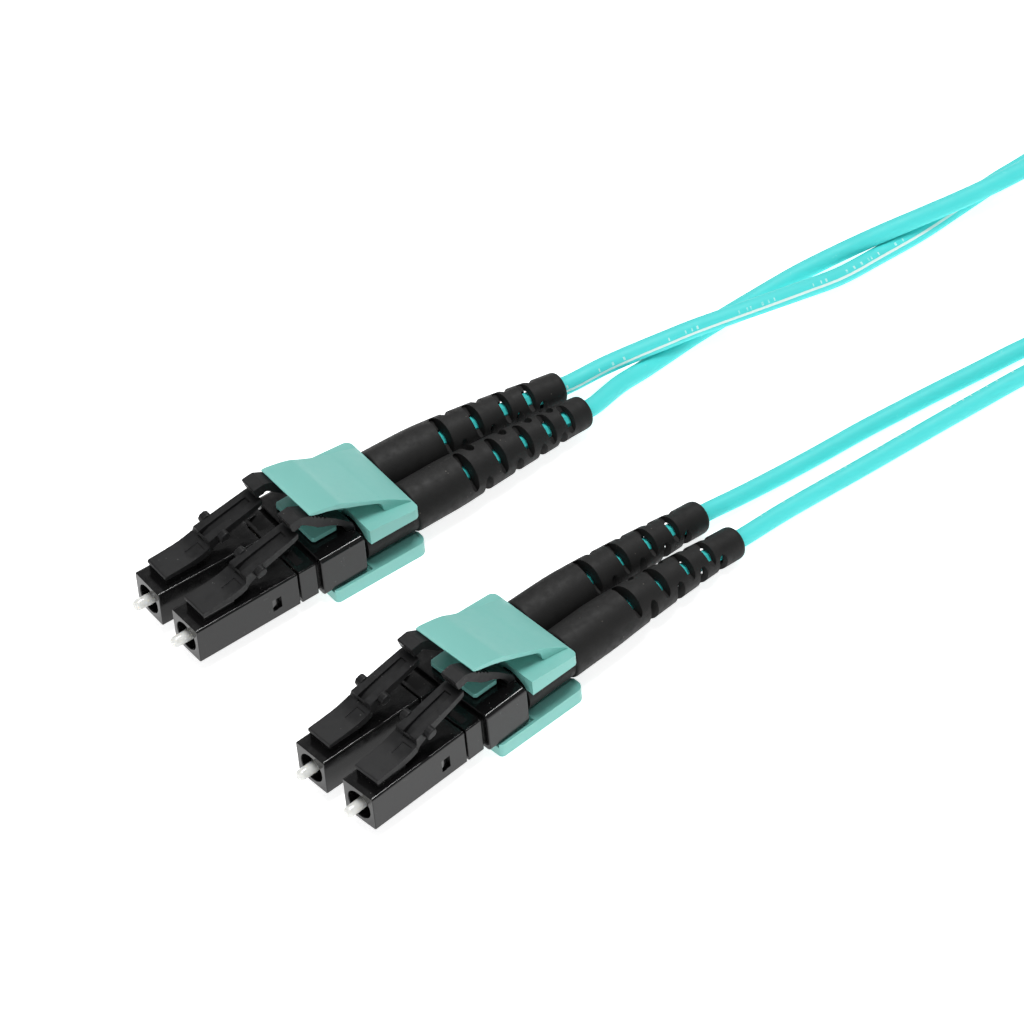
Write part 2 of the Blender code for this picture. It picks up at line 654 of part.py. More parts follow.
def main():
    clear_scene()
    black = material("black_gloss", (0.012, 0.012, 0.013), 0.28)
    satin = material("black_satin", (0.016, 0.016, 0.017), 0.45)
    rubber = material("boot_rubber", (0.018, 0.018, 0.018), 0.75)
    aqua = material("clip_aqua", (0.235, 0.645, 0.590), 0.42)
    jacket = material("cord_aqua", (0.085, 0.760, 0.760), 0.40)
    zirconia = material("zirconia", (0.86, 0.86, 0.83), 0.18)
    steel = material("spring_steel", (0.60, 0.60, 0.60), 0.28, 1.0)
    brass = material("nickel_brass", (0.66, 0.62, 0.54), 0.30, 1.0)
    tie = material("tie_black", (0.015, 0.015, 0.016), 0.50)

    root = empty("patch_cord_frame", None, (-FRAME_X, -FRAME_Y, PLATE_DROP))
    ends = {
        "a": empty("a_frame", root, (0.0, 0.0, 0.0)),
        "b": empty("b_frame", root, (END_B_X, END_B_Y, 0.0), END_B_YAW),
    }
    frames = {}
    for end, end_frame in ends.items():
        for side in ("l", "r"):
            tag = f"{end}_{side}"
            frame = frames[tag] = connector_frame(end, side, end_frame)
            front_housing(tag, frame, black)
            latch_lever(tag, frame, satin)
            rear_housing(tag, frame, black)
            trigger_arm(tag, frame, satin)
            ferrule(tag, frame, zirconia)
            ferrule_flange(tag, frame, brass)
            ferrule_spring(tag, frame, steel)
            back_post(tag, frame, brass)
            crimp_sleeve(tag, frame, brass)
            strain_relief_boot(tag, frame, rubber)
            inner_lead(tag, frame, jacket)
        duplex_clip(end, end_frame, aqua)
        press_lever(end, end_frame, aqua)

    bpy.context.view_layer.update()

    def leaves(tag):
        """The cord's first points: out of the boot along its axis."""
        knots = []
        for x in (BOOT_END_X[tag] + GAP, BOOT_END_X[tag] + 1.2):
            y, z = boot_axis(tag, x)
            knots.append(world_point(frames[tag], (x, y, z)))
        return knots

    lie = CORD_D / 2 + 0.02

    def ground(x, y, z=lie):
        """A point of the route, from end A's front faces, above the surface."""
        return Vector((x - FRAME_X, y - FRAME_Y, z))

    # far strands: end A to the coil, one passing over the other twice
    cord_tube("cord_1_end_a", leaves("a_l") + [
        ground(57.29, 1.76, 2.62), ground(61.43, 0.89, 2.98), ground(63.96, 0.37, 3.09),
        ground(67.26, -0.19, 3.12), ground(70.68, -0.94, 3.12), ground(75.30, -1.85, 2.95),
        ground(80.21, -2.37, 2.35), ground(85.33, -2.62, 1.52), ground(90.88, -2.36, 1.05),
        ground(96.29, -2.36), ground(102.08, -1.89), ground(107.92, -1.39),
        ground(111.56, -1.28), ground(116.09, -0.76), ground(120.15, 0.45),
    ], jacket)
    cord_tube("cord_2_end_a", leaves("a_r") + [
        ground(57.49, -0.73, 1.66), ground(60.78, -0.15, 1.16), ground(63.68, 0.21),
        ground(67.68, 0.59), ground(71.82, 0.80), ground(77.29, 0.97),
        ground(82.60, 0.90, 1.16), ground(87.33, -0.02, 1.85), ground(91.81, -1.28, 2.72),
        ground(96.47, -2.26, 3.06), ground(101.34, -2.99, 3.12),
        ground(105.37, -3.40, 3.12), ground(109.86, -3.57, 3.05),
        ground(114.85, -3.22, 2.55), ground(119.60, -1.94, 1.61),
    ], jacket)
    # near strands: end B to the coil, side by side
    cord_tube("cord_2_end_b", leaves("b_l") + [
        ground(57.39, -22.07, 1.42), ground(62.61, -22.07, 1.06), ground(67.75, -22.21),
        ground(72.99, -22.27), ground(78.11, -22.51), ground(83.19, -22.81),
        ground(88.26, -23.17), ground(94.10, -23.58), ground(102.03, -24.74),
        ground(109.84, -26.89), ground(117.52, -29.71), ground(122.78, -31.92),
    ], jacket)
    cord_tube("cord_1_end_b", leaves("b_r") + [
        ground(59.04, -26.83, 1.36), ground(64.43, -26.59, 1.06), ground(69.66, -26.63),
        ground(74.94, -26.64), ground(80.23, -26.65), ground(85.49, -26.71),
        ground(91.55, -26.83), ground(99.63, -27.60), ground(107.79, -29.43),
        ground(115.91, -31.98), ground(123.86, -34.95), ground(125.78, -35.71),
    ], jacket)
    coil_ring(jacket)
    tie_band(tie)


main()
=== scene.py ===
"""Looks of the fibre optic patch cord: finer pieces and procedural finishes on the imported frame."""

import math

import bmesh
import bpy
from mathutils import Matrix, Vector


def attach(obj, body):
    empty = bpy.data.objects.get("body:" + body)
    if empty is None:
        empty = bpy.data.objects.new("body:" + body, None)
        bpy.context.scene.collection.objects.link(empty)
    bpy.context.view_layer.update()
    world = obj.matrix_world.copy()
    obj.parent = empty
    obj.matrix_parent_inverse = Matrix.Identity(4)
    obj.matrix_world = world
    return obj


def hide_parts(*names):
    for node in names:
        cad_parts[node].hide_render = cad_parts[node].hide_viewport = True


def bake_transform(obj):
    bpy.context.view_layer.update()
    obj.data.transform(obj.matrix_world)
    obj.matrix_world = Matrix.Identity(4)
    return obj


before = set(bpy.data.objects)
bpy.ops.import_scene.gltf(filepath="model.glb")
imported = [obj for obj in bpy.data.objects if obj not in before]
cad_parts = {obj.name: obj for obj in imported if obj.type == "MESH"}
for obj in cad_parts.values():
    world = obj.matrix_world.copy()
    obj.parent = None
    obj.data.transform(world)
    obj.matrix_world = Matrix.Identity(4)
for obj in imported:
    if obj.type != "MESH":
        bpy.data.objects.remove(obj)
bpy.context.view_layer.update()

# ---------------------------------------------------------------- sizes, mm
MM = 0.001
FRAME_X, FRAME_Y, PLATE_DROP = 25.3235, -15.0615, 1.74
END_B_YAW, END_B_X, END_B_Y = 6.4, -0.28, -30.75
CLIP_PITCH, CLIP_X = 6.25, 24.0
FRONT_PITCH = {"a": 6.89, "b": 7.32}
BOOT_END_PITCH = {"a": 4.50, "b": 5.41}
BOOT_DROP = {"a": 1.45, "b": 2.00}
BODY, AXIS_Z, NOSE_LENGTH = 4.5, 2.25, 12.80
BORE_R, CAVITY_R = 1.60, 1.75
LATCH_PIVOT, TRIGGER_PIVOT, LEVER_PIVOT = (5.05, 5.62), (20.9, 5.15), (26.95, 6.20)
BOOT_FRONT_X = 21.60
BOOT_END_X = {"a_l": 51.80, "a_r": 51.70, "b_l": 53.00, "b_r": 53.00}
BOOT_NECK_R, BOOT_BODY_R, BOOT_TAIL_R, BOOT_END_R = 2.50, 2.80, 1.85, 1.66
BOOT_BORE_R, BOOT_SOCKET_R = 1.30, 1.85
SLOT_STATIONS = {
    "a_l": ((36.6, 40.6, 44.3, 47.3), (38.4, 42.2, 45.6, 48.6)),
    "a_r": ((35.4, 39.4, 43.0, 46.1, 48.7), (37.2, 41.4, 44.7, 47.5)),
    "b_l": ((37.0, 41.2, 45.0, 48.3), (39.2, 43.2, 46.7, 49.7)),
    "b_r": ((37.3, 41.5, 45.2, 48.3), (39.4, 43.4, 46.8, 49.7)),
}
SLOT_WIDTH = 1.15
SLOT_TURN = {"a_l": 65.0, "a_r": 55.0, "b_l": 68.0, "b_r": 72.0}
CLIP_HALF_Y, CLIP_FRONT_X, CLIP_BACK_X = 6.47, 21.55, 27.90
CLIP_TOP_Z, LIP_Z, CHANNEL_R = 5.90, 3.90, 2.80
PLATE_FRONT_X, TONGUE_FRONT_X, TONGUE_HALF_Y = 16.64, 16.35, 3.47
CORD_D = 2.0
COIL_X, COIL_Y = 148.6 - FRAME_X, -14.5 - FRAME_Y
TAGS = ("a_l", "a_r", "b_l", "b_r")

ROOT = Matrix.Translation(Vector((-FRAME_X, -FRAME_Y, PLATE_DROP)))
END = {
    "a": ROOT,
    "b": ROOT @ Matrix.Translation(Vector((END_B_X, END_B_Y, 0.0)))
    @ Matrix.Rotation(math.radians(END_B_YAW), 4, "Z"),
}


def connector_matrix(tag):
    sign = 1 if tag[-1] == "l" else -1
    half = FRONT_PITCH[tag[0]] / 2
    yaw = math.atan2((CLIP_PITCH / 2 - half) * sign, CLIP_X)
    return END[tag[0]] @ Matrix.Translation(Vector((0.0, sign * half, 0.0))) @ Matrix.Rotation(yaw, 4, "Z")


WHERE = {tag: connector_matrix(tag) for tag in TAGS}
TO_METRES = Matrix.Scale(MM, 4)


# ---------------------------------------------------------------- node helpers
class Look:
    """A procedural material: a Principled shader and the nodes that feed it."""

    def __init__(self, name, base, rough, metallic=0.0, **constants):
        self.mat = bpy.data.materials.new(name)
        self.mat.use_nodes = True
        self.tree = self.mat.node_tree
        self.shader = self.tree.nodes["Principled BSDF"]
        self.set("Base Color", (*base, 1.0))
        self.set("Roughness", rough)
        self.set("Metallic", metallic)
        for key, value in constants.items():
            self.set(key.replace("_", " "), value)
        self.coords = self.add("ShaderNodeTexCoord").outputs["Object"]
        self.mat.diffuse_color = (*base, 1.0)

    def set(self, socket, value):
        self.shader.inputs[socket].default_value = value

    def add(self, kind, **settings):
        made = self.tree.nodes.new(kind)
        for key, value in settings.items():
            setattr(made, key, value)
        return made

    def link(self, a, b):
        self.tree.links.new(a, b)

    def noise(self, scale, detail=3.0, rough=0.5, coords=None, stretch=None):
        source = coords or self.coords
        if stretch:
            mapping = self.add("ShaderNodeMapping")
            mapping.inputs["Scale"].default_value = stretch
            self.link(source, mapping.inputs["Vector"])
            source = mapping.outputs["Vector"]
        made = self.add("ShaderNodeTexNoise")
        made.inputs["Scale"].default_value = scale
        made.inputs["Detail"].default_value = detail
        made.inputs["Roughness"].default_value = rough
        self.link(source, made.inputs["Vector"])
        return made.outputs["Fac"]

    def remap(self, value, low, high, to_low=0.0, to_high=1.0, smooth=False):
        made = self.add("ShaderNodeMapRange")
        if smooth:
            made.interpolation_type = "SMOOTHSTEP"
        for key, v in (("From Min", low), ("From Max", high), ("To Min", to_low), ("To Max", to_high)):
            made.inputs[key].default_value = v
        self.link(value, made.inputs["Value"])
        return made.outputs["Result"]

    def math(self, kind, a, b=None):
        made = self.add("ShaderNodeMath", operation=kind)
        for i, v in enumerate((a, b)):
            if v is None:
                continue
            if isinstance(v, (int, float)):
                made.inputs[i].default_value = v
            else:
                self.link(v, made.inputs[i])
        return made.outputs["Value"]

    def mix(self, factor, a, b):
        made = self.add("ShaderNodeMix", data_type="RGBA")
        if isinstance(factor, (int, float)):
            made.inputs["Factor"].default_value = factor
        else:
            self.link(factor, made.inputs["Factor"])
        for socket, v in ((made.inputs[6], a), (made.inputs[7], b)):
            if isinstance(v, tuple):
                socket.default_value = (*v, 1.0)
            else:
                self.link(v, socket)
        return made.outputs[2]

    def colour(self, value):
        self.link(value, self.shader.inputs["Base Color"])

    def roughness(self, value):
        self.link(value, self.shader.inputs["Roughness"])

    def bump(self, height, distance, strength=1.0):
        made = self.add("ShaderNodeBump")
        made.inputs["Strength"].default_value = strength
        made.inputs["Distance"].default_value = distance
        self.link(height, made.inputs["Height"])
        self.link(made.outputs["Normal"], self.shader.inputs["Normal"])

    def specks(self, scale, size, where=0.62):
        """Sparse small dots, as dust or filler shows in moulded plastic."""
        made = self.add("ShaderNodeTexVoronoi")
        made.inputs["Scale"].default_value = scale
        self.link(self.coords, made.inputs["Vector"])
        near = self.remap(made.outputs["Distance"], size * 0.6, size, 1.0, 0.0)
        patch = self.remap(self.noise(scale * 0.31, 1.0), where, where + 0.03)
        return self.math("MULTIPLY", near, patch)


def make_looks():
    looks = {}
    gloss = Look("black_gloss_moulding", (0.0042, 0.0042, 0.0046), 0.16, Specular_IOR_Level=0.34)
    base = gloss.mix(gloss.noise(420.0), (0.0030, 0.0030, 0.0033), (0.0062, 0.0061, 0.0062))
    gloss.colour(gloss.mix(gloss.specks(2600.0, 0.16), base, (0.10, 0.10, 0.095)))
    gloss.roughness(gloss.remap(gloss.noise(900.0, 4.0), 0.3, 0.7, 0.10, 0.22))
    gloss.bump(gloss.noise(650.0, 2.0), 0.000006, 0.6)
    looks["gloss"] = gloss.mat

    satin = Look("black_satin_moulding", (0.009, 0.009, 0.010), 0.44, Specular_IOR_Level=0.22)
    base = satin.mix(satin.noise(700.0), (0.0065, 0.0066, 0.0070), (0.0125, 0.0125, 0.0130))
    satin.colour(satin.mix(satin.specks(2300.0, 0.17), base, (0.12, 0.12, 0.115)))
    satin.roughness(satin.remap(satin.noise(1500.0, 4.0), 0.3, 0.7, 0.36, 0.50))
    satin.bump(satin.noise(9000.0, 3.0), 0.000012, 0.55)
    looks["satin"] = satin.mat

    rubber = Look("black_boot_rubber", (0.010, 0.010, 0.010), 0.62, Specular_IOR_Level=0.19)
    base = rubber.mix(rubber.noise(380.0, 5.0), (0.0085, 0.0085, 0.0085), (0.0165, 0.0162, 0.0158))
    rubber.colour(rubber.mix(rubber.specks(1500.0, 0.14, 0.60), base, (0.075, 0.070, 0.060)))
    rubber.roughness(rubber.remap(rubber.noise(1200.0, 4.0), 0.3, 0.7, 0.50, 0.68))
    rubber.bump(rubber.noise(7000.0, 4.0, 0.6), 0.000030, 0.6)
    looks["rubber"] = rubber.mat

    aqua = Look("aqua_clip_moulding", (0.20, 0.64, 0.57), 0.36, Specular_IOR_Level=0.45,
                Subsurface_Weight=0.12, Subsurface_Scale=0.0006,
                Subsurface_Radius=(0.5, 1.0, 0.95))
    base = aqua.mix(aqua.noise(160.0, 4.0), (0.190, 0.520, 0.470), (0.220, 0.560, 0.508))
    aqua.colour(aqua.mix(aqua.specks(1900.0, 0.12, 0.64), base, (0.13, 0.45, 0.40)))
    aqua.roughness(aqua.remap(aqua.noise(1100.0, 4.0), 0.3, 0.7, 0.30, 0.44))
    aqua.bump(aqua.noise(5200.0, 3.0), 0.000010, 0.5)
    looks["aqua"] = aqua.mat

    for name, striped in (("jacket_striped", True), ("jacket_scuffed", False)):
        jacket = Look("aqua_" + name, (0.055, 0.66, 0.64), 0.52, Specular_IOR_Level=0.26,
                      Subsurface_Weight=0.15, Subsurface_Scale=0.0005,
                      Subsurface_Radius=(0.4, 1.0, 1.0))
        uv = jacket.add("ShaderNodeUVMap", uv_map="jacket").outputs["UV"]
        split = jacket.add("ShaderNodeSeparateXYZ")
        jacket.link(uv, split.inputs["Vector"])
        around, along = split.outputs["X"], split.outputs["Y"]
        base = jacket.mix(jacket.noise(260.0, 3.0), (0.078, 0.700, 0.690), (0.098, 0.750, 0.740))

        def band(centre, half):
            off = jacket.math("ABSOLUTE", jacket.math("SUBTRACT", around, centre))
            return jacket.remap(off, half * 0.86, half * 1.08, 1.0, 0.0)

        # short strokes of ink in groups along the jacket
        cells = jacket.add("ShaderNodeCombineXYZ")
        jacket.link(jacket.math("MULTIPLY", along, 1.0), cells.inputs["X"])
        strokes = jacket.add("ShaderNodeTexNoise")
        strokes.inputs["Scale"].default_value = 2900.0
        strokes.inputs["Detail"].default_value = 0.0
        jacket.link(cells.outputs["Vector"], strokes.inputs["Vector"])
        groups = jacket.add("ShaderNodeTexNoise")
        groups.inputs["Scale"].default_value = 230.0
        groups.inputs["Detail"].default_value = 0.0
        jacket.link(cells.outputs["Vector"], groups.inputs["Vector"])
        ink = jacket.math(
            "MULTIPLY",
            jacket.remap(strokes.outputs["Fac"], 0.57, 0.60),
            jacket.remap(groups.outputs["Fac"], 0.46, 0.48),
        )
        if striped:
            print_band = jacket.math("MULTIPLY", band(0.118, 0.030), ink)
            wear = jacket.remap(jacket.noise(2600.0, 2.0), 0.35, 0.6, 0.25, 0.8)
            base = jacket.mix(jacket.math("MULTIPLY", print_band, wear), base, (0.62, 0.86, 0.83))
            frayed = jacket.math(
                "ADD", around, jacket.remap(jacket.noise(1800.0, 2.0), 0.0, 1.0, -0.004, 0.004)
            )
            off = jacket.math("ABSOLUTE", jacket.math("SUBTRACT", frayed, 0.195))
            stripe = jacket.remap(off, 0.0205, 0.0250, 0.92, 0.0)
            base = jacket.mix(stripe, base, (0.78, 0.86, 0.82))
        else:
            scuffs = jacket.remap(jacket.noise(1400.0, 4.0), 0.66, 0.74, 0.0, 0.35)
            base = jacket.mix(scuffs, base, (0.30, 0.86, 0.84))
        jacket.colour(base)
        jacket.roughness(jacket.remap(jacket.noise(900.0, 3.0), 0.3, 0.7, 0.46, 0.60))
        jacket.bump(jacket.noise(4200.0, 3.0), 0.000012, 0.5)
        looks[name] = jacket.mat

    lead = Look("aqua_jacket_plain", (0.055, 0.66, 0.64), 0.36)
    lead.colour(lead.mix(lead.noise(260.0, 3.0), (0.048, 0.640, 0.625), (0.064, 0.690, 0.668)))
    lead.roughness(lead.remap(lead.noise(900.0, 3.0), 0.3, 0.7, 0.28, 0.42))
    lead.bump(lead.noise(4200.0, 3.0), 0.000012, 0.5)
    looks["lead"] = lead.mat

    ceramic = Look("white_zirconia", (0.83, 0.83, 0.80), 0.16, Specular_IOR_Level=0.7,
                   Subsurface_Weight=0.35, Subsurface_Scale=0.0005,
                   Subsurface_Radius=(1.0, 0.95, 0.85))
    ceramic.colour(ceramic.mix(ceramic.noise(900.0, 4.0), (0.66, 0.67, 0.65), (0.90, 0.90, 0.87)))
    ceramic.roughness(ceramic.remap(ceramic.noise(2200.0, 4.0), 0.3, 0.7, 0.10, 0.28))
    ceramic.bump(ceramic.noise(3000.0, 3.0), 0.000006, 0.5)
    looks["ceramic"] = ceramic.mat

    brass = Look("nickel_plated_brass", (0.64, 0.60, 0.52), 0.26, metallic=1.0)
    brass.colour(brass.mix(brass.noise(500.0, 4.0), (0.58, 0.54, 0.46), (0.70, 0.67, 0.60)))
    brass.roughness(brass.remap(brass.noise(2500.0, 4.0, 0.5, None, (6.0, 1.0, 1.0)), 0.3, 0.7, 0.18, 0.36))
    brass.bump(brass.noise(4200.0, 2.0, 0.5, None, (6.0, 0.4, 0.4)), 0.000006, 0.6)
    looks["brass"] = brass.mat

    steel = Look("spring_wire", (0.56, 0.56, 0.57), 0.24, metallic=1.0)
    steel.colour(steel.mix(steel.noise(1200.0, 3.0), (0.50, 0.50, 0.51), (0.64, 0.64, 0.65)))
    steel.roughness(steel.remap(steel.noise(3000.0, 3.0), 0.3, 0.7, 0.16, 0.34))
    steel.bump(steel.noise(6000.0, 2.0), 0.000004, 0.6)
    looks["steel"] = steel.mat

    tie = Look("black_tie_nylon", (0.012, 0.012, 0.013), 0.40, Specular_IOR_Level=0.5)
    tie.colour(tie.mix(tie.noise(500.0, 4.0), (0.009, 0.009, 0.010), (0.018, 0.018, 0.019)))
    tie.roughness(tie.remap(tie.noise(1600.0, 4.0), 0.3, 0.7, 0.32, 0.50))
    tie.bump(tie.noise(4500.0, 3.0), 0.000012, 0.5)
    looks["tie"] = tie.mat

    table = Look("pale_table", (0.86, 0.86, 0.86), 0.62, Specular_IOR_Level=0.25)
    table.colour(table.mix(table.noise(3.0, 2.0), (0.855, 0.855, 0.855), (0.875, 0.875, 0.875)))
    table.set("Emission Color", (1.0, 1.0, 1.0, 1.0))
    table.set("Emission Strength", 0.78)
    looks["table"] = table.mat
    return looks


LOOK = make_looks()


# ---------------------------------------------------------------- mesh helpers
def add_loft(bm, rings, ring_closed=False):
    rows = [[bm.verts.new(p) for p in ring] for ring in rings]
    n = len(rows[0])
    pairs = list(zip(rows, rows[1:]))
    if ring_closed:
        pairs.append((rows[-1], rows[0]))
    for a, b in pairs:
        for i in range(n):
            j = (i + 1) % n
            bm.faces.new((a[i], a[j], b[j], b[i]))
    if not ring_closed:
        bm.faces.new(list(reversed(rows[0])))
        bm.faces.new(rows[-1])
    return bm


def circle_ring(x, r, n, y=0.0, z=AXIS_Z):
    return [
        (x, y + r * math.cos(2 * math.pi * (i + 0.5) / n), z + r * math.sin(2 * math.pi * (i + 0.5) / n))
        for i in range(n)
    ]


def rect_ring(x, half_y, z0, z1, radius, n, bulge=0.0):
    """A rounded rectangle; bulge moves its middle height along X."""
    k = n // 4
    zc, half_z = (z0 + z1) / 2, (z1 - z0) / 2
    points = []
    for corner in range(4):
        sy, sz = (1, -1, -1, 1)[corner], (1, 1, -1, -1)[corner]
        for i in range(k):
            a = math.radians(90.0 * corner + 90.0 * i / (k - 1))
            z = zc + sz * (half_z - radius) + radius * math.sin(a)
            lift = 1.0 - ((z - zc) / half_z) ** 2
            points.append((x + bulge * lift, sy * (half_y - radius) + radius * math.cos(a), z))
    return points


def strip(rows):
    """A bar along X from rows of (top x, top z, low x, low z, half width)."""
    return add_loft(
        bmesh.new(),
        [[(xt, w, zt), (xt, -w, zt), (xb, -w, zb), (xb, w, zb)] for xt, zt, xb, zb, w in rows],
    )


def smooth_rows(rows, steps=5):
    """Finer rows on the smooth curves through the given ones."""
    out = []
    last = len(rows) - 1
    for i in range(last):
        p0, p1, p2, p3 = (rows[max(i - 1, 0)], rows[i], rows[i + 1], rows[min(i + 2, last)])
        for s in range(steps):
            t = s / steps
            out.append(
                tuple(
                    0.5 * (2 * b + (c - a) * t + (2 * a - 5 * b + 4 * c - d) * t * t
                           + (3 * b - a - 3 * c + d) * t ** 3)
                    for a, b, c, d in zip(p0, p1, p2, p3)
                )
            )
    out.append(rows[-1])
    return out


def box_into(bm, x0, x1, y0, y1, z0, z1):
    add_loft(bm, [[(x, y0, z0), (x, y1, z0), (x, y1, z1), (x, y0, z1)] for x in (x0, x1)])
    return bm


def prism_y(bm, outline, y0, y1):
    """An XZ outline extruded along Y."""
    add_loft(bm, [[(x, y, z) for x, z in outline] for y in (y0, y1)])
    return bm


SCRATCH = []


def scratch(bm, name="scratch"):
    bmesh.ops.recalc_face_normals(bm, faces=bm.faces[:])
    mesh = bpy.data.meshes.new(name)
    bm.to_mesh(mesh)
    bm.free()
    mesh.shade_smooth()
    obj = bpy.data.objects.new(name, mesh)
    bpy.context.scene.collection.objects.link(obj)
    SCRATCH.append(obj)
    return obj


def boolean(obj, bm, operation):
    mod = obj.modifiers.new(operation.title(), "BOOLEAN")
    mod.operation = operation
    mod.solver = "EXACT"
    mod.use_self = True
    mod.object = scratch(bm, "tool")
    return obj


def baked(obj, bevel=None, segments=2, angle=28.0):
    """The mesh of a scratch object, its edges rounded by bevel mm."""
    if bevel:
        mod = obj.modifiers.new("Bevel", "BEVEL")
        mod.width = bevel
        mod.segments = segments
        mod.limit_method = "ANGLE"
        mod.angle_limit = math.radians(angle)
        mod.use_clamp_overlap = True
        mod.miter_outer = "MITER_ARC"
    mod = obj.modifiers.new("Normals", "WEIGHTED_NORMAL")
    mod.weight = 60
    bpy.context.view_layer.update()
    graph = bpy.context.evaluated_depsgraph_get()
    return bpy.data.meshes.new_from_object(
        obj.evaluated_get(graph), preserve_all_data_layers=True, depsgraph=graph
    )


def joined(meshes):
    bm = bmesh.new()
    for mesh in meshes:
        bm.from_mesh(mesh)
    out = bpy.data.meshes.new("joined")
    bm.to_mesh(out)
    bm.free()
    return out


def place(name, mesh, where, look, nodes=(), body="body", bend=None):
    """Puts a mesh in mm in its frame, as a piece in metres: without bend it rides its body, with bend it is left in
    place on its own.
    """
    mesh.transform(TO_METRES @ where)
    mesh.name = name
    mesh.materials.clear()
    mesh.materials.append(LOOK[look])
    obj = bpy.data.objects.new(name, mesh)
    bpy.context.scene.collection.objects.link(obj)
    if bend:
        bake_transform(obj)
    else:
        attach(obj, body)
    if nodes:
        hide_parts(*nodes)
    return obj


# ---------------------------------------------------------------- connector
def front_housing(tag):
    n = 32
    h = BODY / 2
    outer = [
        rect_ring(0.0, h - 0.09, 0.09, BODY - 0.09, 0.16, n),
        rect_ring(0.03, h - 0.04, 0.04, BODY - 0.04, 0.20, n),
        rect_ring(0.09, h, 0.0, BODY, 0.24, n),
        rect_ring(NOSE_LENGTH - 0.07, h, 0.0, BODY, 0.24, n),
        rect_ring(NOSE_LENGTH, h - 0.06, 0.06, BODY - 0.06, 0.18, n),
    ]
    inner = [
        circle_ring(NOSE_LENGTH, CAVITY_R, n), circle_ring(5.9, CAVITY_R, n),
        circle_ring(5.9, 1.0, n), circle_ring(5.2, 1.0, n), circle_ring(5.2, BORE_R, n),
        circle_ring(0.14, BORE_R, n), circle_ring(0.0, BORE_R + 0.10, n),
    ]
    obj = scratch(add_loft(bmesh.new(), outer + inner, True))
    # the pedestal that the latch springs from
    bm = bmesh.new()
    box_into(bm, 1.46, 5.3, -1.60, 1.60, 4.35, 5.44)
    boolean(obj, bm, "UNION")
    # key windows: a ramp that deepens backwards, on both sides
    for side in (1, -1):
        deep, face, shallow = side * (h - 0.42), side * (h + 0.3), side * (h - 0.03)
        bm = bmesh.new()
        rings = []
        for x, d in ((9.42, shallow), (10.55, deep)):
            ya, yb = sorted((d, face))
            rings.append([(x, ya, 1.25), (x, yb, 1.25), (x, yb, 2.75), (x, ya, 2.75)])
        boolean(obj, add_loft(bm, rings), "DIFFERENCE")
        bm = bmesh.new()
        box_into(bm, 9.42, 10.0, *sorted((deep, face)), 1.18, 1.72)
        boolean(obj, bm, "DIFFERENCE")
    return place(tag + "_nose", baked(obj, 0.035, 2, 40.0), WHERE[tag], "gloss",
                 [tag + "_front_housing"])


def latch_lever(tag):
    rows = [
        (1.34, 5.62, 1.36, 5.44, 1.66), (1.40, 5.80, 1.46, 5.40, 1.70), (1.62, 5.86, 1.62, 5.36, 1.70),
        (3.00, 5.92, 3.00, 5.36, 1.70), (4.40, 6.02, 4.40, 5.36, 1.70), (5.30, 6.14, 5.36, 5.30, 1.70),
        (6.10, 6.32, 6.20, 5.46, 1.70), (6.90, 6.58, 7.00, 5.72, 1.68), (7.02, 6.66, 7.10, 5.76, 1.62),
        (7.16, 7.26, 7.40, 5.92, 1.50), (7.60, 7.38, 7.85, 6.16, 1.46), (8.50, 7.56, 8.60, 6.48, 1.44),
        (10.0, 7.88, 10.05, 6.95, 1.40), (12.0, 8.30, 12.0, 7.50, 1.36), (13.6, 8.66, 13.6, 7.95, 1.30),
        (14.15, 8.76, 14.10, 8.16, 1.24),
    ]
    obj = scratch(strip(rows))
    # the groove between the two ridges of the arm, its front end open as a notch
    bm = bmesh.new()
    add_loft(bm, [
        [(x, w, z + 1.2), (x, -w, z + 1.2), (x, -w * 0.86, z), (x, w * 0.86, z)]
        for x, z, w in ((6.75, 6.50, 0.50), (7.35, 6.62, 0.52), (8.4, 7.12, 0.56), (10.0, 7.52, 0.58),
                        (12.2, 7.98, 0.58), (13.1, 8.30, 0.54))
    ])
    boolean(obj, bm, "DIFFERENCE")
    # the shallow patch on the near half of the ramp
    bm = bmesh.new()
    add_loft(bm, [
        [(x, -0.02, z + 0.6), (x, -1.42, z + 0.6), (x, -1.42, z), (x, -0.02, z)]
        for x, z in ((4.9, 5.985), (5.6, 6.10), (6.55, 6.36))
    ])
    boolean(obj, bm, "DIFFERENCE")
    arm = baked(obj, 0.07, 2, 26.0)
    # the shoulders that catch in the adapter
    ears = []
    for side in (1, -1):
        bm = bmesh.new()
        y0, y1 = sorted((side * 1.30, side * 2.20))
        outline = [(8.25, 6.72), (8.10, 7.25), (8.35, 7.66), (8.90, 7.86), (9.32, 7.72), (9.40, 7.20), (9.20, 6.86)]
        prism_y(bm, outline, y0, y1)
        ears.append(baked(scratch(bm), 0.16, 3, 20.0))
    # the raised lip behind the notch, a short crossbar between the ridges
    bm = bmesh.new()
    prism_y(bm, [(7.10, 6.60), (7.05, 7.02), (7.22, 7.08), (7.42, 6.75)], -1.30, 1.30)
    ears.append(baked(scratch(bm), 0.05, 2, 20.0))
    return place(tag + "_latch", joined([arm] + ears), WHERE[tag], "satin",
                 [tag + "_latch_lever"], tag + "_latch", ((4.7, 0.0, 5.62), (5.7, 0.0, 5.66)))


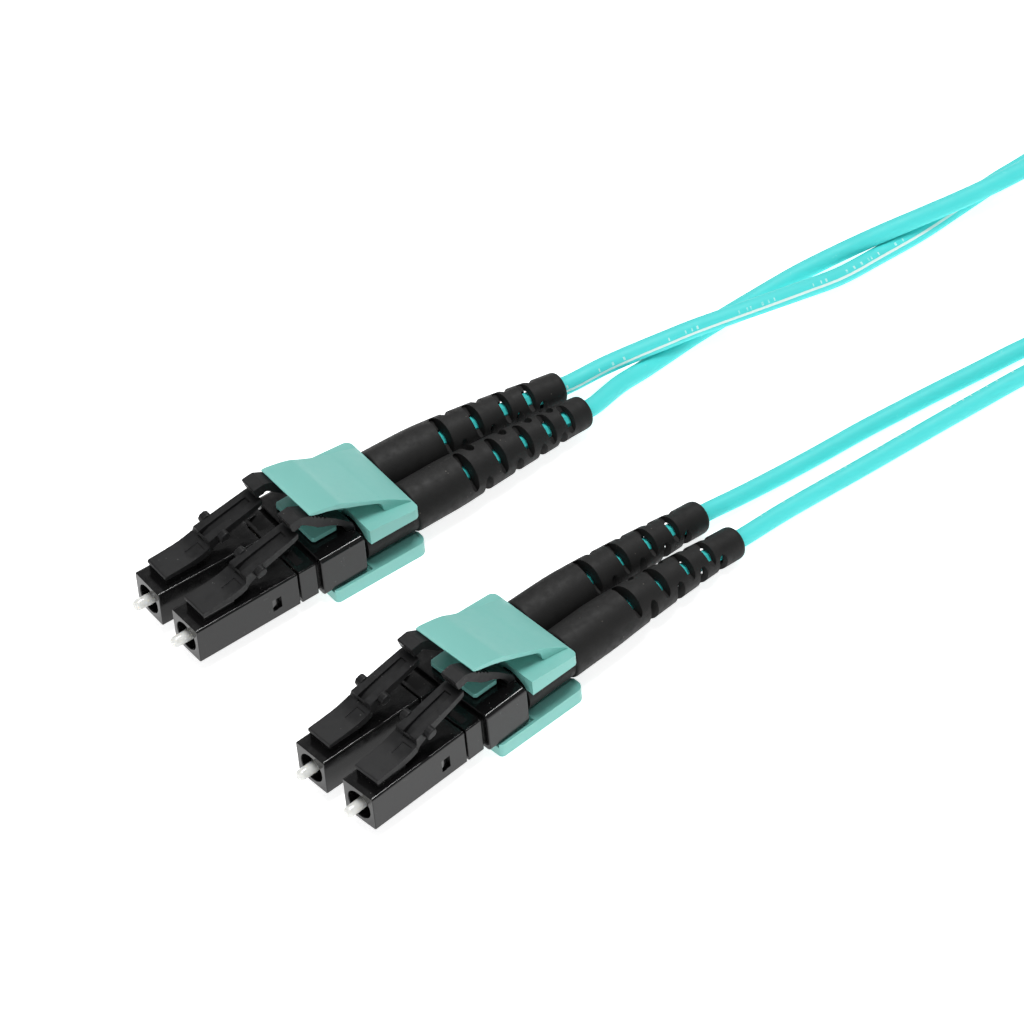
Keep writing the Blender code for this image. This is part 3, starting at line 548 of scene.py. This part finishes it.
def rear_housing(tag):
    n = 32
    tab = BODY / 2 - 0.02
    zt = 4.95
    outer = [
        rect_ring(13.05, tab - 0.05, 0.07, 4.37, 0.14, n), rect_ring(13.10, tab, 0.02, 4.42, 0.16, n),
        rect_ring(15.10, tab, 0.02, 4.42, 0.16, n), rect_ring(15.16, tab - 0.05, 0.07, 4.37, 0.14, n),
        rect_ring(15.20, 2.02, 0.35, 4.08, 0.25, n), rect_ring(15.44, 2.02, 0.35, 4.08, 0.25, n),
        rect_ring(15.48, 2.76, -0.04, zt - 0.08, 0.40, n), rect_ring(15.56, 2.84, -0.12, zt, 0.46, n),
        rect_ring(20.80, 2.84, -0.12, zt, 0.46, n, 0.30), rect_ring(20.95, 2.76, -0.04, zt - 0.08, 0.42, n, 0.30),
        rect_ring(21.05, 2.40, 0.30, zt - 0.40, 0.36, n, 0.20),
    ]
    inner = [circle_ring(21.10, 1.75, n), circle_ring(13.05, 1.75, n)]
    obj = scratch(add_loft(bmesh.new(), outer + inner, True))
    # the sloping pocket in the tab
    bm = bmesh.new()
    add_loft(bm, [
        [(x, 1.15, 5.4), (x, -1.15, 5.4), (x, -1.15, z), (x, 1.15, z)]
        for x, z in ((13.45, 3.98), (14.95, 4.50))
    ])
    boolean(obj, bm, "DIFFERENCE")
    # the step that the arm grows out of
    bm = bmesh.new()
    box_into(bm, 19.75, 20.95, -1.32, 1.32, 4.80, 5.12)
    boolean(obj, bm, "UNION")
    return place(tag + "_rear_body", baked(obj, 0.04, 2, 34.0), WHERE[tag], "gloss",
                 [tag + "_rear_housing"])


def trigger_arm(tag):
    w = 1.12
    rows = [
        (13.32, 10.34, 13.62, 9.34, w - 0.02), (13.42, 10.46, 13.80, 9.26, w), (14.66, 10.62, 14.70, 9.50, w),
        (14.95, 10.50, 14.92, 9.42, w - 0.04), (15.55, 10.22, 15.28, 9.10, w - 0.10),
        (16.54, 9.58, 16.05, 8.44, w - 0.14), (17.10, 9.10, 16.70, 7.84, w - 0.14),
        (17.70, 8.65, 17.40, 7.46, w - 0.12), (18.85, 7.76, 18.30, 7.10, w - 0.08),
        (19.60, 7.10, 19.10, 6.62, w - 0.04), (20.35, 6.36, 19.75, 6.02, w), (20.92, 5.72, 20.10, 5.50, w),
        (21.05, 5.10, 20.05, 5.00, w + 0.04),
    ]
    obj = scratch(strip(rows))
    # shallow serrations over the bend
    bm = bmesh.new()
    for x, z in ((16.35, 9.66), (16.80, 9.34), (17.25, 8.98), (17.70, 8.62)):
        prism_y(bm, [(x - 0.13, z + 0.30), (x - 0.05, z - 0.16), (x + 0.07, z - 0.16), (x + 0.22, z + 0.30)], -w - 0.2, w + 0.2)
    boolean(obj, bm, "DIFFERENCE")
    arm = baked(obj, 0.06, 2, 24.0)
    bm = bmesh.new()
    # the head's lower lip, which rests over the latch's end
    prism_y(bm, [(13.55, 9.42), (13.74, 9.06), (14.55, 9.12), (14.95, 9.46), (14.7, 9.8), (13.7, 9.8)], -0.98, 0.98)
    lip = baked(scratch(bm), 0.07, 2, 20.0)
    return place(tag + "_trigger", joined([arm, lip]), WHERE[tag], "satin",
                 [tag + "_trigger_arm"], tag + "_trigger", ((20.75, 0.0, 4.95), (20.35, 0.0, 5.75)))


def ferrule(tag):
    n = 32
    profile = [(-1.80, 0.30), (-1.78, 0.40), (-1.72, 0.47), (-1.60, 0.545), (-1.46, 0.60), (-1.36, 0.622),
               (-1.25, 0.625), (6.12, 0.625)]
    obj = scratch(add_loft(bmesh.new(), [circle_ring(x, r, n) for x, r in profile]))
    return place(tag + "_ferrule_tip", baked(obj), WHERE[tag], "ceramic",
                 [tag + "_ferrule"], tag + "_ferrule_body")


# ---------------------------------------------------------------- boot
def boot_axis(tag, x):
    end, side = tag[0], 1 if tag[-1] == "l" else -1
    t = max(0.0, (x - 28.0) / (BOOT_END_X[tag] - 28.0))
    straight = (CLIP_PITCH + (CLIP_PITCH - FRONT_PITCH[end]) * (BOOT_END_X[tag] - CLIP_X) / CLIP_X) / 2
    inward = BOOT_END_PITCH[end] / 2 - straight
    return side * inward * t * t, AXIS_Z - BOOT_DROP[end] * t * t


def boot_frame(tag, x):
    y, z = boot_axis(tag, x)
    y1, z1 = boot_axis(tag, x + 0.1)
    y0, z0 = boot_axis(tag, x - 0.1)
    along = Vector((0.2, y1 - y0, z1 - z0)).normalized()
    up = (Vector((0, 0, 1)) - along * along.z).normalized()
    return Vector((x, y, z)), along, up, up.cross(along)


def boot_ring(tag, x, r, n):
    centre, along, up, side = boot_frame(tag, x)
    return [
        centre - side * r * math.cos(2 * math.pi * (i + 0.5) / n) + up * r * math.sin(2 * math.pi * (i + 0.5) / n)
        for i in range(n)
    ]


def boot_radius(x):
    if x <= 34.0:
        return BOOT_BODY_R
    t = min(1.0, (x - 34.0) / 16.0)
    return BOOT_BODY_R + (BOOT_TAIL_R - BOOT_BODY_R) * t


def strain_relief_boot(tag):
    n = 40
    profile = [(BOOT_FRONT_X, BOOT_NECK_R), (28.10, BOOT_NECK_R), (28.16, 2.66), (28.30, 2.76), (28.5, BOOT_BODY_R)]
    x = 30.0
    while x < 50.1:
        profile.append((x, boot_radius(x)))
        x += 1.6
    last = BOOT_END_X[tag]
    profile += [(50.4, 1.86), (last - 0.55, 1.84), (last - 0.32, 1.80), (last - 0.16, 1.73),
                (last - 0.05, 1.62), (last, 1.46)]
    inner = [(last, BOOT_BORE_R), (46.0, BOOT_BORE_R), (37.0, BOOT_BORE_R), (28.0, BOOT_BORE_R),
             (27.4, BOOT_SOCKET_R), (BOOT_FRONT_X, BOOT_SOCKET_R)]
    obj = scratch(add_loft(bmesh.new(), [boot_ring(tag, x, r, n) for x, r in profile + inner], True))
    bm = bmesh.new()
    wide, turned = SLOT_STATIONS[tag]
    for x, quarter in [(x, 0.0) for x in wide] + [(x, 90.0) for x in turned]:
        centre, along, up, side = boot_frame(tag, x)
        turn = math.radians(SLOT_TURN[tag] + quarter)
        out = Vector((0.0, -math.cos(turn), math.sin(turn)))
        out = (out - along * out.dot(along)).normalized()
        across = along.cross(out)
        r = boot_radius(x)
        reach, half = BOOT_BORE_R * 0.72, r * (0.86 if quarter == 0.0 else 0.78)
        for sign in (1, -1):
            rings = []
            for depth, soft in ((reach, 0.34), (r * 0.80, 0.50), (r + 0.05, 0.60), (r + 1.0, 0.62)):
                ring = []
                for i in range(16):
                    a = 2 * math.pi * (i + 0.5) / 16
                    shift = (half - soft) * (1 if math.sin(a) > 0 else -1)
                    ring.append(centre + out * sign * depth + along * soft * math.cos(a)
                                + across * (soft * math.sin(a) + shift))
                rings.append(ring)
            add_loft(bm, rings)
    boolean(obj, bm, "DIFFERENCE")
    return place(tag + "_boot", baked(obj, 0.08, 2, 40.0), WHERE[tag], "rubber",
                 [tag + "_strain_relief_boot"])


# ---------------------------------------------------------------- duplex clip
def clip_outline():
    def half(side):
        yc = side * (CLIP_PITCH / 2 + 0.015)
        up = math.asin((LIP_Z - AXIS_Z) / CHANNEL_R)
        down = math.asin(AXIS_Z / CHANNEL_R)
        start, stop = up, 2 * math.pi - down
        arc = []
        for i in range(29):
            a = start + (stop - start) * i / 28
            arc.append((yc + side * CHANNEL_R * math.cos(a), AXIS_Z + CHANNEL_R * math.sin(a)))
        return ([(side * CLIP_HALF_Y, CLIP_TOP_Z), (side * CLIP_HALF_Y, LIP_Z)] + arc
                + [(side * CLIP_HALF_Y, 0.0), (side * CLIP_HALF_Y, -PLATE_DROP)])
    return half(-1) + list(reversed(half(1)))


def plan_prism(x0, x1, half_y, front, back, z0, z1):
    """A plate seen from above, its front and back corners rounded."""
    points = []
    for cx, cy, r, start in ((x0 + front, -half_y + front, front, 180), (x1 - back, -half_y + back, back, 270),
                             (x1 - back, half_y - back, back, 0), (x0 + front, half_y - front, front, 90)):
        for i in range(9):
            a = math.radians(start + 90 * i / 8)
            points.append((cx + r * math.cos(a), cy + r * math.sin(a)))
    return add_loft(bmesh.new(), [[(x, y, z) for x, y in points] for z in (z0, z1)])


def duplex_clip(end):
    outline = clip_outline()
    obj = scratch(add_loft(bmesh.new(), [[(x, y, z) for y, z in outline] for x in (CLIP_FRONT_X, CLIP_BACK_X)]))
    # the top falls a little towards the back
    bm = bmesh.new()
    prism_y(bm, [(15.0, -3.0), (29.0, -3.0), (29.0, 4.95), (27.9, 5.08), (27.0, 5.24), (22.0, 5.78), (15.0, 6.4)], -8.0, 8.0)
    boolean(obj, bm, "INTERSECT")
    boolean(obj, plan_prism(CLIP_FRONT_X - 1.0, CLIP_BACK_X - 0.01, CLIP_HALF_Y + 0.01, 0.4, 0.75, -3.0, 8.0), "INTERSECT")
    # the lower plate: a thin floor between two rims
    plate = plan_prism(PLATE_FRONT_X, CLIP_BACK_X + 0.42, CLIP_HALF_Y, 0.5, 1.0, -PLATE_DROP, -0.02)
    inside = bmesh.new()
    box_into(inside, PLATE_FRONT_X - 1.0, CLIP_FRONT_X + 0.02, -CLIP_HALF_Y + 0.34, CLIP_HALF_Y - 0.34, -0.45, 1.0)
    lower = scratch(plate)
    boolean(lower, inside, "DIFFERENCE")
    inside = bmesh.new()
    for side in (1, -1):
        yc = side * (CLIP_PITCH / 2 + 0.015)
        add_loft(inside, [circle_ring(x, CHANNEL_R, 48, yc) for x in (CLIP_FRONT_X - 0.2, CLIP_BACK_X + 2.0)])
    boolean(lower, inside, "DIFFERENCE")
    bpy.context.view_layer.update()
    graph = bpy.context.evaluated_depsgraph_get()
    bm = bmesh.new()
    bm.from_mesh(bpy.data.meshes.new_from_object(lower.evaluated_get(graph)))
    boolean(obj, bm, "UNION")
    bm = bmesh.new()
    outline = [
        (CLIP_FRONT_X + 0.4, -1.55), (CLIP_FRONT_X + 0.4, 1.55), (20.0, 1.55), (19.70, 1.75), (19.55, 2.1),
        (19.50, TONGUE_HALF_Y - 0.2), (19.3, TONGUE_HALF_Y), (TONGUE_FRONT_X + 0.25, TONGUE_HALF_Y),
        (TONGUE_FRONT_X, TONGUE_HALF_Y - 0.25), (TONGUE_FRONT_X, -TONGUE_HALF_Y + 0.25),
        (TONGUE_FRONT_X + 0.25, -TONGUE_HALF_Y), (19.3, -TONGUE_HALF_Y), (19.50, -TONGUE_HALF_Y + 0.2),
        (19.55, -2.1), (19.70, -1.75), (20.0, -1.55),
    ]
    add_loft(bm, [[(x, y, z) for x, y in outline] for z in (5.15, 5.70)])
    boolean(obj, bm, "UNION")
    return place(end + "_clip", baked(obj, 0.16, 3, 40.0), END[end], "aqua",
                 [end + "_duplex_clip"])


def press_lever(end):
    # (top x, top z at the near side, at the far side, low x, low z near, far, half width)
    rows = [
        (15.76, 10.46, 10.26, 15.80, 10.28, 10.06, 4.42), (16.30, 10.48, 10.24, 16.30, 10.04, 9.78, 4.46),
        (17.30, 10.30, 10.00, 17.30, 9.74, 9.42, 4.48), (18.30, 10.08, 9.72, 18.25, 9.46, 9.08, 4.50),
        (19.30, 9.78, 9.36, 19.15, 9.12, 8.66, 4.52), (19.90, 9.52, 9.04, 19.75, 8.86, 8.36, 4.53),
        (20.60, 9.14, 8.62, 20.40, 8.54, 7.98, 4.55), (21.90, 8.50, 7.92, 21.70, 7.98, 7.36, 4.60),
        (23.20, 7.86, 7.28, 23.00, 7.40, 6.78, 4.68), (24.10, 7.42, 6.86, 23.92, 6.98, 6.38, 4.74),
        (24.50, 7.24, 6.70, 24.26, 6.68, 6.12, 4.78), (24.80, 7.10, 6.58, 24.46, 6.22, 5.80, 4.80),
        (25.20, 6.88, 6.42, 24.66, 5.52, 5.42, 4.82), (26.00, 6.42, 6.08, 25.80, 5.20, 5.18, 4.90),
        (26.95, 5.82, 5.62, 26.90, 5.05, 5.05, 5.00), (27.50, 5.44, 5.34, 27.50, 4.90, 4.90, 5.06),
        (27.80, 5.16, 5.12, 27.80, 4.86, 4.86, 5.08),
    ]
    rings = [
        [(xt, w, far), (xt, -w, near), (xb, -w, low_near), (xb, w, low_far)]
        for xt, near, far, xb, low_near, low_far, w in smooth_rows(rows, 3)
    ]
    obj = scratch(add_loft(bmesh.new(), rings))
    return place(end + "_flap", baked(obj, 0.12, 3, 34.0), END[end], "aqua",
                 [end + "_press_lever"], end + "_press_lever", ((27.5, 0.0, 6.05), (25.6, 0.0, 6.75)))


# ---------------------------------------------------------------- cords
def through(knots, spacing):
    """Points at even spacing on the smooth curve through the knots."""
    pts = [Vector(k) for k in knots]
    pts = [pts[0] * 2 - pts[1]] + pts + [pts[-1] * 2 - pts[-2]]
    dense = []
    for i in range(1, len(pts) - 2):
        p0, p1, p2, p3 = pts[i - 1:i + 3]
        t0, t1 = 0.0, (p1 - p0).length ** 0.5
        t2 = t1 + (p2 - p1).length ** 0.5
        t3 = t2 + (p3 - p2).length ** 0.5
        for s in range(24):
            t = t1 + (t2 - t1) * s / 24
            a1 = p0 * ((t1 - t) / (t1 - t0)) + p1 * ((t - t0) / (t1 - t0))
            a2 = p1 * ((t2 - t) / (t2 - t1)) + p2 * ((t - t1) / (t2 - t1))
            a3 = p2 * ((t3 - t) / (t3 - t2)) + p3 * ((t - t2) / (t3 - t2))
            b1 = a1 * ((t2 - t) / (t2 - t0)) + a2 * ((t - t0) / (t2 - t0))
            b2 = a2 * ((t3 - t) / (t3 - t1)) + a3 * ((t - t1) / (t3 - t1))
            dense.append(b1 * ((t2 - t) / (t2 - t1)) + b2 * ((t - t1) / (t2 - t1)))
    dense.append(pts[-2])
    run = [0.0]
    for a, b in zip(dense, dense[1:]):
        run.append(run[-1] + (b - a).length)
    count = max(2, round(run[-1] / spacing))
    out, k = [], 0
    for i in range(count + 1):
        want = run[-1] * i / count
        while k < len(run) - 2 and run[k + 1] < want:
            k += 1
        t = (want - run[k]) / max(run[k + 1] - run[k], 1e-9)
        out.append(dense[k].lerp(dense[k + 1], min(max(t, 0.0), 1.0)))
    return out


def leaves(tag):
    return [WHERE[tag] @ Vector((x, *boot_axis(tag, x))) for x in (BOOT_END_X[tag] - 0.04, BOOT_END_X[tag] + 0.3, BOOT_END_X[tag] + 1.2)]


def ground(x, y, z=CORD_D / 2 + 0.02):
    return Vector((x - FRAME_X, y - FRAME_Y, z))


# the two strands' ways over the table, from end A and from end B
FROM_A = {
    "1": leaves("a_l") + [
        ground(57.29, 1.76, 2.62), ground(61.43, 0.89, 2.98), ground(63.96, 0.37, 3.09),
        ground(67.26, -0.19, 3.12), ground(70.68, -0.94, 3.12), ground(75.30, -1.85, 2.95),
        ground(80.21, -2.37, 2.35), ground(85.33, -2.62, 1.52), ground(90.88, -2.36, 1.05),
        ground(96.29, -2.36), ground(102.08, -1.89), ground(107.92, -1.39),
        ground(111.56, -1.28), ground(116.09, -0.76), ground(120.15, 0.45),
        ground(123.84, 2.22), ground(127.27, 4.46),
    ],
    "2": leaves("a_r") + [
        ground(57.49, -0.73, 1.66), ground(60.78, -0.15, 1.16), ground(63.68, 0.21),
        ground(67.68, 0.59), ground(71.82, 0.80), ground(77.29, 0.97),
        ground(82.60, 0.90, 1.16), ground(87.33, -0.02, 1.85), ground(91.81, -1.28, 2.72),
        ground(96.47, -2.26, 3.06), ground(101.34, -2.99, 3.12),
        ground(105.37, -3.40, 3.12), ground(109.86, -3.57, 3.05),
        ground(114.85, -3.22, 2.55), ground(119.60, -1.94, 1.61),
        ground(124.05, 0.08, 1.03), ground(128.15, 2.61),
    ],
}
FROM_B = {
    "2": leaves("b_l") + [
        ground(57.39, -22.07, 1.42), ground(62.61, -22.07, 1.06), ground(67.75, -22.21),
        ground(72.99, -22.27), ground(78.11, -22.51), ground(83.19, -22.81),
        ground(88.26, -23.17), ground(94.10, -23.58), ground(102.03, -24.74),
        ground(109.84, -26.89), ground(117.52, -29.71), ground(125.04, -32.87),
        ground(132.38, -36.04),
    ],
    "1": leaves("b_r") + [
        ground(59.04, -26.83, 1.36), ground(64.43, -26.59, 1.06), ground(69.66, -26.63),
        ground(74.94, -26.64), ground(80.23, -26.65), ground(85.49, -26.71),
        ground(91.55, -26.83), ground(99.63, -27.60), ground(107.79, -29.43),
        ground(115.91, -31.98), ground(123.86, -34.95), ground(131.53, -38.00),
    ],
}

# the coil's way: (turned so far in degrees, radius of the pair, height)
COIL_IN, COIL_TURN = 130.0, 1680.4
COIL_WAY = (
    (0, 27.1, 1.02), (40, 22.9, 1.02), (325, 22.9, 1.02), (360, 22.9, 3.07), (650, 22.9, 3.07),
    (685, 22.9, 5.12), (970, 22.9, 5.12), (1010, 27.1, 5.12), (1155, 27.1, 5.12), (1190, 27.1, 3.07),
    (1480, 27.1, 3.07), (1515, 27.1, 1.02), (COIL_TURN, 27.1, 1.02),
)


def coil_points(offset):
    """The wound turns of one strand, offset from the pair's middle."""
    points = []
    steps = 112
    for i in range(steps + 1):
        turned = COIL_TURN * i / steps
        for (t0, r0, z0), (t1, r1, z1) in zip(COIL_WAY, COIL_WAY[1:]):
            if t0 <= turned <= t1:
                s = (turned - t0) / (t1 - t0)
                s = s * s * (3 - 2 * s)
                r, z = r0 + (r1 - r0) * s, z0 + (z1 - z0) * s
        a = math.radians(COIL_IN - turned)
        points.append(Vector((COIL_X + (r + offset) * math.cos(a), COIL_Y + (r + offset) * math.sin(a), z)))
    return points


def strand(number, offset, look):
    knots = FROM_A[number] + coil_points(offset) + list(reversed(FROM_B[number]))
    path = through(knots, 1.0)
    run = [0.0]
    for a, b in zip(path, path[1:]):
        run.append(run[-1] + (b - a).length)
    n = 20
    bm = bmesh.new()
    rings, angles = [], []
    for i, p in enumerate(path):
        along = (path[min(i + 1, len(path) - 1)] - path[max(i - 1, 0)]).normalized()
        side = along.cross(Vector((0, 0, 1))).normalized()
        up = side.cross(along)
        # the jacket's own turn about the cord's axis
        turn = math.radians(-14.0 + 30.0 * min(1.0, run[i] / 46.0) if number == "1" else 0.0)
        ring = []
        for k in range(n):
            a = 2 * math.pi * k / n - turn
            ring.append(p + (up * math.cos(a) + side * math.sin(a)) * CORD_D / 2)
        rings.append(ring)
    rows = [[bm.verts.new(p) for p in ring] for ring in rings]
    layer = bm.loops.layers.uv.new("jacket")
    for i in range(len(rows) - 1):
        for k in range(n):
            j = (k + 1) % n
            face = bm.faces.new((rows[i][k], rows[i][j], rows[i + 1][j], rows[i + 1][k]))
            corners = ((k, i), (k + 1, i), (k + 1, i + 1), (k, i + 1))
            for loop, (u, v) in zip(face.loops, corners):
                # u runs round the jacket, centred on its top; v is in metres
                round_it = u / n if k < n // 2 else u / n - 1.0
                loop[layer].uv = (round_it, run[v] * MM)
    bm.faces.new(list(reversed(rows[0])))
    bm.faces.new(rows[-1])
    bmesh.ops.recalc_face_normals(bm, faces=bm.faces[:])
    mesh = bpy.data.meshes.new("strand")
    bm.to_mesh(mesh)
    bm.free()
    mesh.shade_smooth()
    mesh.set_sharp_from_angle(angle=math.radians(60))
    ends = ["cord_%s_end_a" % number, "cord_%s_end_b" % number, "stored_coil"]
    obj = place("strand_" + number, mesh, Matrix.Identity(4), look, ends)
    print("strand", number, "length %.1f mm" % run[-1])
    return obj


def make_tie():
    """The cable tie round the turns, with its head on the outer side."""
    in_x, out_x, top = COIL_X + 20.40, COIL_X + 29.60, 6.48
    half, t = 1.22, 0.62
    def arch(grow):
        """From the table on the inside, over the turns, to the table outside."""
        x0, x1, z1 = in_x - grow, out_x + grow, top + grow
        r = 1.0 + grow
        pts = [(x0, 0.08)]
        for cx, start in ((x0 + r, 180), (x1 - r, 90)):
            for i in range(9):
                a = math.radians(start - 90 * i / 8)
                pts.append((cx + r * math.cos(a), z1 - r + r * math.sin(a)))
        pts.append((x1, 0.08))
        return pts
    outer, inner = arch(t), arch(0.0)
    outline = outer + list(reversed(inner))
    obj = scratch(prism_y(bmesh.new(), outline, COIL_Y - half, COIL_Y + half))
    # ratchet teeth down the outer face of the strap
    bm = bmesh.new()
    for i in range(11):
        x = in_x + 1.6 + 0.62 * i
        prism_y(bm, [(x - 0.18, top + t + 0.3), (x - 0.02, top + t - 0.10), (x + 0.20, top + t + 0.3)],
                COIL_Y - 0.78, COIL_Y + 0.78)
    boolean(obj, bm, "DIFFERENCE")
    band = baked(obj, 0.05, 2, 40.0)
    bm = bmesh.new()
    box_into(bm, out_x + 0.25, out_x + t + 1.55, COIL_Y - half - 0.0, COIL_Y + half + 0.0, 0.10, 3.3)
    head = scratch(bm)
    bm = bmesh.new()
    box_into(bm, out_x + 1.0, out_x + 1.65, COIL_Y - 0.86, COIL_Y + 0.86, 2.6, 3.6)
    boolean(head, bm, "DIFFERENCE")
    head = baked(head, 0.22, 3, 40.0)
    return place("coil_band", joined([band, head]), Matrix.Identity(4), "tie", ["coil_tie"])


# ---------------------------------------------------------------- camera, light
def studio():
    # the view's axes, as fitted to the pair of connectors
    right = Vector((0.812571, -0.576679, -0.084673))
    down = Vector((-0.464171, -0.552377, -0.692405))
    ahead = Vector((0.352524, 0.601931, -0.716523))
    near = Vector((20.0 - FRAME_X, -15.0 - FRAME_Y, 2.0 + PLATE_DROP))
    place_mm = near - ahead * 936.34
    focal = 9061.2
    forward = (ahead + right * ((512 - 408.36) / focal) + down * ((512 - 609.33) / focal)).normalized()
    right = (right - forward * right.dot(forward)).normalized()
    up = right.cross(forward)
    camera = bpy.data.cameras.new("camera")
    camera.sensor_fit = "HORIZONTAL"
    camera.sensor_width = 36.0
    camera.lens = focal * 36.0 / 1024
    camera.clip_start, camera.clip_end = 0.01, 20.0
    obj = bpy.data.objects.new("camera", camera)
    m = Matrix((
        (right.x, up.x, -forward.x, place_mm.x * MM), (right.y, up.y, -forward.y, place_mm.y * MM),
        (right.z, up.z, -forward.z, place_mm.z * MM), (0, 0, 0, 1)))
    obj.matrix_world = m
    bpy.context.scene.collection.objects.link(obj)
    bpy.context.scene.camera = obj

    bm = bmesh.new()
    bmesh.ops.create_grid(bm, x_segments=2, y_segments=2, size=3.0)
    bmesh.ops.translate(bm, verts=bm.verts[:], vec=(0.05, 0.0, -0.00002))
    mesh = bpy.data.meshes.new("table_top")
    bm.to_mesh(mesh)
    bm.free()
    mesh.materials.append(LOOK["table"])
    floor = bpy.data.objects.new("table_top", mesh)
    bpy.context.scene.collection.objects.link(floor)

    def lamp(name, where, aim, size, power, gloss_only=False):
        light = bpy.data.lights.new(name, "AREA")
        light.shape = "RECTANGLE"
        light.size, light.size_y = size
        light.energy = power
        made = bpy.data.objects.new(name, light)
        direction = Vector(aim) - Vector(where)
        made.matrix_world = Matrix.Translation(Vector(where)) @ direction.to_track_quat("-Z", "Y").to_matrix().to_4x4()
        made.visible_diffuse = not gloss_only
        bpy.context.scene.collection.objects.link(made)

    lamp("overhead_softbox", (0.05, -0.05, 1.05), (0.03, 0.0, 0.0), (0.50, 0.36), 7.6)
    lamp("side_softbox", (-0.75, -0.85, 0.55), (0.02, 0.0, 0.0), (0.6, 0.5), 2.2)
    lamp("back_strip", (0.55, 1.15, 0.65), (0.02, 0.0, 0.0), (0.25, 0.7), 1.2)
    lamp("edge_light", (0.42, 0.28, 1.02), (0.02, 0.0, 0.0), (0.20, 0.20), 6.5, True)

    world = bpy.data.worlds.new("studio")
    bpy.context.scene.world = world
    world.use_nodes = True
    ground_node = world.node_tree.nodes["Background"]
    ground_node.inputs["Color"].default_value = (1.0, 1.0, 1.0, 1.0)
    ground_node.inputs["Strength"].default_value = 0.30
    bpy.context.scene.view_settings.view_transform = "Standard"


# ---------------------------------------------------------------- assembly
INSIDES = {"ferrule_flange": "brass", "ferrule_spring": "steel", "back_post": "brass",
           "crimp_sleeve": "brass", "inner_lead": "lead"}
for tag in TAGS:
    front_housing(tag)
    latch_lever(tag)
    rear_housing(tag)
    trigger_arm(tag)
    ferrule(tag)
    strain_relief_boot(tag)
    for part, look in INSIDES.items():
        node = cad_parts[f"{tag}_{part}"]
        for place_in in node.material_slots:
            place_in.material = LOOK[look]
        if not node.material_slots:
            node.data.materials.append(LOOK[look])
for end in ("a", "b"):
    duplex_clip(end)
    press_lever(end)
make_tie()
strand("1", 1.0, "jacket_striped")
strand("2", -1.05, "jacket_scuffed")
for obj in SCRATCH:
    bpy.data.objects.remove(obj, do_unlink=True)
studio()
